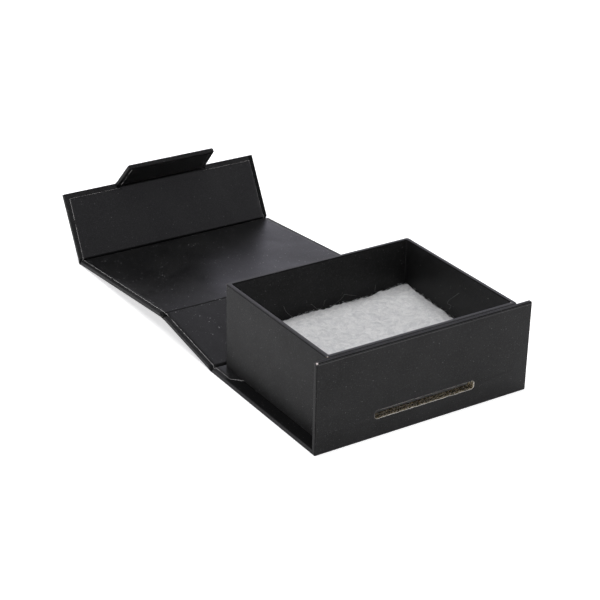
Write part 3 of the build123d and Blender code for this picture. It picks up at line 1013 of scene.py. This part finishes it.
# The hollow and shaded tones are painted shade between the fibres, darker than the fluff on top.
hollow_shade, fluff, shaded = (0.565, 0.57, 0.58), (0.775, 0.775, 0.77), (0.34, 0.345, 0.35)
body = blended(tree, ramp(tree, mat, (0.34, 0.0), (0.60, 1.0)), hollow_shade, fluff)
body = blended(tree, ramp(tree, hair_grain, (0.34, 0.55), (0.50, 0.0)), body, shaded)
tree.links.new(body, shader.inputs["Base Color"])
relief(tree, shader, reckon(tree, "MULTIPLY_ADD", mat, 2.0, hair_grain), 0.30 * mm)

well_half = width / 2 - edge
well_back, well_front = tray_high.y - edge, tray_low.y + edge
side_gap, wall_gap = 0.5 * mm, 0.12 * mm
pad_half, pad_back, pad_front = well_half - side_gap, well_back - side_gap, well_front + side_gap
pad_foot, pad_top = well_floor + 0.25 * mm, 20.7 * mm
pocket_half, pocket_low, pocket_high, pocket_end = 29.8 * mm, 8.9 * mm, 14.7 * mm, -25.4 * mm
voxel, swell_limit, swell_frames = 1.15 * mm, 1.2 * mm, 20
held_below = pocket_high + 2.2 * mm
matted_from, matted_full = 17.5 * mm, 19.5 * mm


def settled(piece):
    """The piece as its modifiers leave it."""
    return piece.evaluated_get(bpy.context.evaluated_depsgraph_get())


def grown_mesh(piece):
    """The piece's mesh with its modifiers applied, and no modifier left on it."""
    made = bpy.data.meshes.new_from_object(settled(piece))
    piece.modifiers.clear()
    piece.data = made
    return made


def layered(x, y, *layers):
    """Noise over the pad's top, summed from layers of a scale, a seed and a height."""
    return sum(noise.noise(Vector((x * s, y * s, seed))) * height for s, seed, height in layers)


def in_mouth(c):
    """Whether a face of the block's front is where the pocket opens."""
    at_front = abs(c.y - pad_front) < 10 * hair
    return at_front and abs(c.x) < pocket_half and pocket_low < c.z < pocket_high


shape = bmesh.new()
size = Matrix.Diagonal((2 * pad_half, pad_back - pad_front, pad_top - pad_foot, 1))
middle = Matrix.Translation((0, (pad_back + pad_front) / 2, (pad_top + pad_foot) / 2))
bmesh.ops.create_cube(shape, size=1, matrix=middle @ size)
round_edges(shape, lambda a, b: abs(a.z - b.z) > mm, 1.6 * mm, 4)
for x in (pocket_half, -pocket_half):
    slice_at(shape, (x, 0, 0), (1, 0, 0))
for z in (pocket_low, pocket_high):
    slice_at(shape, (0, 0, z), (0, 0, 1))
mouth = [f for f in shape.faces if in_mouth(f.calc_center_median())]
pushed = bmesh.ops.extrude_discrete_faces(shape, faces=mouth)["faces"]
bmesh.ops.translate(
    shape, vec=(0, pocket_end - pad_front, 0), verts=list({v for f in pushed for v in f.verts})
)
pad = finished("pad_of_wadding", shape, [wadding])
weave = pad.modifiers.new("even_mesh", "REMESH")
weave.mode, weave.voxel_size = "VOXEL", voxel
pad_mesh = grown_mesh(pad)

held = pad.vertex_groups.new(name="held")
held.add([v.index for v in pad_mesh.vertices if v.co.z < held_below], 1.0, "REPLACE")
before = [v.co.copy() for v in pad_mesh.vertices]
swelling = pad.modifiers.new("swelling", "CLOTH")
swelling.settings.use_pressure = True
swelling.settings.uniform_pressure_force = 4.0
swelling.settings.effector_weights.gravity = 0.0
swelling.settings.vertex_group_mass = "held"
swelling.settings.quality = 4
for tick in range(1, swell_frames + 1):
    bpy.context.scene.frame_set(tick)
after = [v.co.copy() for v in settled(pad).data.vertices]
pad.modifiers.clear()
pad.vertex_groups.clear()
bpy.context.scene.frame_set(1)
for v, start, end in zip(pad_mesh.vertices, before, after):
    step = end - start
    v.co = start + step * min(1.0, swell_limit / max(step.length, 1e-9))

finer = pad.modifiers.new("finer", "SUBSURF")
finer.levels = finer.render_levels = 1
pad_mesh = grown_mesh(pad)

for v in pad_mesh.vertices:
    x, y, z = v.co
    upper = eased(z, matted_from, matted_full)
    from_wall = min(well_half - abs(x), well_back - y, y - well_front)
    near_wall = 1 - eased(from_wall, 0.0, 5 * mm)
    matted = layered(x, y, (130, 1.0, 0.55), (420, 2.0, 0.34), (1250, 3.0, 0.20)) * mm
    ragged = layered(x, y, (230, 5.0, 0.7), (640, 6.0, 0.6)) + 0.55
    ragged *= mm * near_wall
    right_back = eased(x, 20 * mm, 52 * mm) * eased(y, 5 * mm, 42 * mm)
    left_back = eased(-x, 10 * mm, 30 * mm) * eased(y, 20 * mm, 42 * mm)
    corner = (right_back - 0.6 * left_back) * 1.5 * mm
    slope = eased(y, -42 * mm, 42 * mm) * 0.5 * mm
    v.co.z += upper * (matted + ragged + corner + slope)
    spread = 1 + (1.0 * mm * near_wall * upper + 0.2 * mm) / well_half
    v.co.x = max(-well_half + wall_gap, min(well_half - wall_gap, x * spread))
    v.co.y = max(well_front + wall_gap, min(well_back - wall_gap, y * spread))
pad_mesh.update()
pad_mesh.polygons.foreach_set("use_smooth", [True] * len(pad_mesh.polygons))
pad.data.name = pad.name
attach(pad, "tray_and_base")
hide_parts("wadding_pad")

# ---- Fibres on the pad ----
# Fine ends of the wadding's fibres, curled over its top, and standing up along the back and right
# walls. They lie on the finished pad.

pad_surface = bmesh.new()
pad_surface.from_mesh(pad_mesh)
surface = BVHTree.FromBMesh(pad_surface)
pad_surface.free()
chance = random.Random(17)
fibre_count, fibre_points, fibre_gap, above_rim = 900, 5, 0.2 * mm, 60 * mm


def fibre_bundle(name, radius):
    """A curve that holds many fibres of one thickness."""
    bundle = bpy.data.curves.new(name, "CURVE")
    bundle.dimensions = "3D"
    bundle.bevel_depth, bundle.bevel_resolution, bundle.use_fill_caps = radius, 0, True
    bundle.resolution_u = 3
    return bundle


def lay_fibre(bundle, points):
    """Add a fibre that curves between some points."""
    spline = bundle.splines.new("NURBS")
    spline.points.add(len(points) - 1)
    for knot, point in zip(spline.points, points):
        knot.co = (*point, 1)
    spline.order_u = 3
    spline.use_endpoint_u = True


def finished_bundle(bundle, finish):
    """The bundle as a mesh piece that rides on the tray."""
    name = bundle.name
    holder = new_object(name, bundle)
    mesh = bpy.data.meshes.new_from_object(settled(holder))
    bpy.data.objects.remove(holder)
    mesh.name = name
    mesh.materials.clear()
    mesh.materials.append(finish)
    piece = new_object(name, mesh)
    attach(piece, "tray_and_base")


def inside_well(x, y):
    """The nearest place that is clear of the tray's walls."""
    clear_half, clear_back, clear_front = (
        well_half - fibre_gap, well_back - fibre_gap, well_front + fibre_gap
    )
    return max(-clear_half, min(clear_half, x)), max(clear_front, min(clear_back, y))


def top_at(x, y):
    """The height of the pad's top."""
    spot = surface.ray_cast(Vector((x, y, above_rim)), Vector((0, 0, -1)))[0]
    return spot.z if spot else pad_top


web = fibre_bundle("pad_fibres", 0.030 * mm)
for index in range(fibre_count):
    at_wall = index % 3 == 0
    x, y = chance.uniform(-well_half, well_half), chance.uniform(well_front, well_back)
    if at_wall and chance.random() < 0.6:
        y = well_back - chance.uniform(0.2, 1.2) * mm
    elif at_wall:
        x = well_half - chance.uniform(0.2, 1.2) * mm
    heading = chance.uniform(0, 2 * math.pi)
    rise = (chance.uniform(0.3, 1.5) if at_wall else chance.uniform(0.05, 0.35)) * mm
    stride = chance.uniform(0.5, 1.3) * mm
    points = []
    for number in range(fibre_points):
        x, y = inside_well(x + math.cos(heading) * stride, y + math.sin(heading) * stride)
        share = number / (fibre_points - 1)
        arch = share if at_wall else math.sin(math.pi * share)
        points.append((x, y, top_at(x, y) + rise * arch + 0.02 * mm))
        heading += chance.uniform(-0.9, 0.9)
    lay_fibre(web, points)
finished_bundle(web, wadding)

# ---- Stray fibres ----
# A few longer fibres from the wadding, grey against the black paper, cling to the tray's back
# and right walls, where the photograph shows them.

loose_fibre, tree, shader, place = node_material("loose_fibre", roughness=0.7, specular=0.3)
greys = ramp(tree, grain(tree, place, 700), (0.3, (0.10, 0.10, 0.10)), (0.7, (0.30, 0.30, 0.30)))
tree.links.new(greys, shader.inputs["Base Color"])
strays = fibre_bundle("stray_fibres", 0.055 * mm)
back_paper, right_paper = well_back - 0.15 * mm, well_half - 0.15 * mm
for run in (
    ((-22.2, 28.5), (-21.5, 24.5), (-16.8, 21.1)),
    ((-6.2, 25.6), (-4.4, 24.1), (-2.6, 21.9)),
    ((2.4, 25.7), (1.4, 22.8)),
    ((9.8, 22.5), (13.2, 24.1), (13.6, 26.3), (16.7, 24.8), (21.5, 23.2)),
    ((33.3, 26.6), (32.8, 22.7)),
):
    lay_fibre(strays, [(x * mm, back_paper, z * mm) for x, z in run])
on_right = ((-3.4, 36.2), (4.3, 29.2), (6.1, 26.2), (1.0, 27.5), (3.8, 24.2))
lay_fibre(strays, [(right_paper, y * mm, z * mm) for y, z in on_right])
finished_bundle(strays, loose_fibre)
